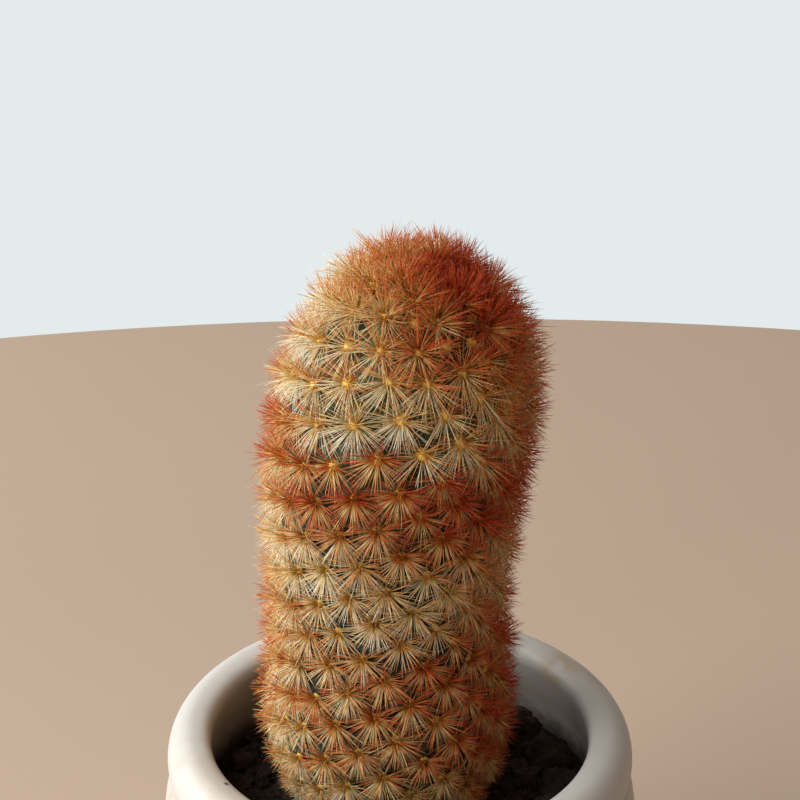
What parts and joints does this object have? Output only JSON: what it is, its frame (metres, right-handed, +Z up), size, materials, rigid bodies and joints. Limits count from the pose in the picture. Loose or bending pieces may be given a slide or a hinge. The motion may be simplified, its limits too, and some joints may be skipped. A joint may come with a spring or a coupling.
{
  "type": "potted pincushion cactus",
  "caption": "Columnar pincushion cactus with rust and cream spines in spiral rows, rooted in dark potting mix in a small cream glazed pot with a rolled rim and a drain hole.",
  "frame": {"origin": "centre of the pot's foot, on the surface it stands on", "axes": "+Z up along the pot's axis, -Y towards the front, +X to the right, the way the head leans"},
  "size_m": [0.0638, 0.0638, 0.1234],
  "materials": {
    "glaze": "glossy cream glaze",
    "net_plastic": "matte",
    "potting_mix": "damp, crumbly",
    "clods": "damp, crumbly",
    "plant_skin": "matt, waxy green skin",
    "spines": "fine bristles, cream with rust tips",
    "crown_spines": "fine bristles, deep red"
  },
  "bodies": {
    "root": {"pot": "glaze", "drain_mesh": "net_plastic", "potting_mix": "potting_mix", "soil_clod_01": "clods", "soil_clod_02": "clods", "soil_clod_03": "clods", "soil_clod_04": "clods", "soil_clod_05": "clods", "soil_clod_06": "clods", "soil_clod_07": "clods", "soil_clod_08": "clods", "soil_clod_09": "clods", "soil_clod_10": "clods", "soil_clod_11": "clods", "soil_clod_12": "clods", "soil_clod_13": "clods", "cactus_stem": "plant_skin", "spine_row_01": "spines", "spine_row_02": "spines", "spine_row_03": "spines", "spine_row_04": "spines", "spine_row_05": "spines", "spine_row_06": "spines", "spine_row_07": "spines", "spine_row_08": "spines", "spine_row_09": "spines", "spine_row_10": "spines", "spine_row_11": "spines", "spine_row_12": "spines", "spine_row_13": "spines", "crown_spines": "crown_spines"}
  },
  "joints": []
}
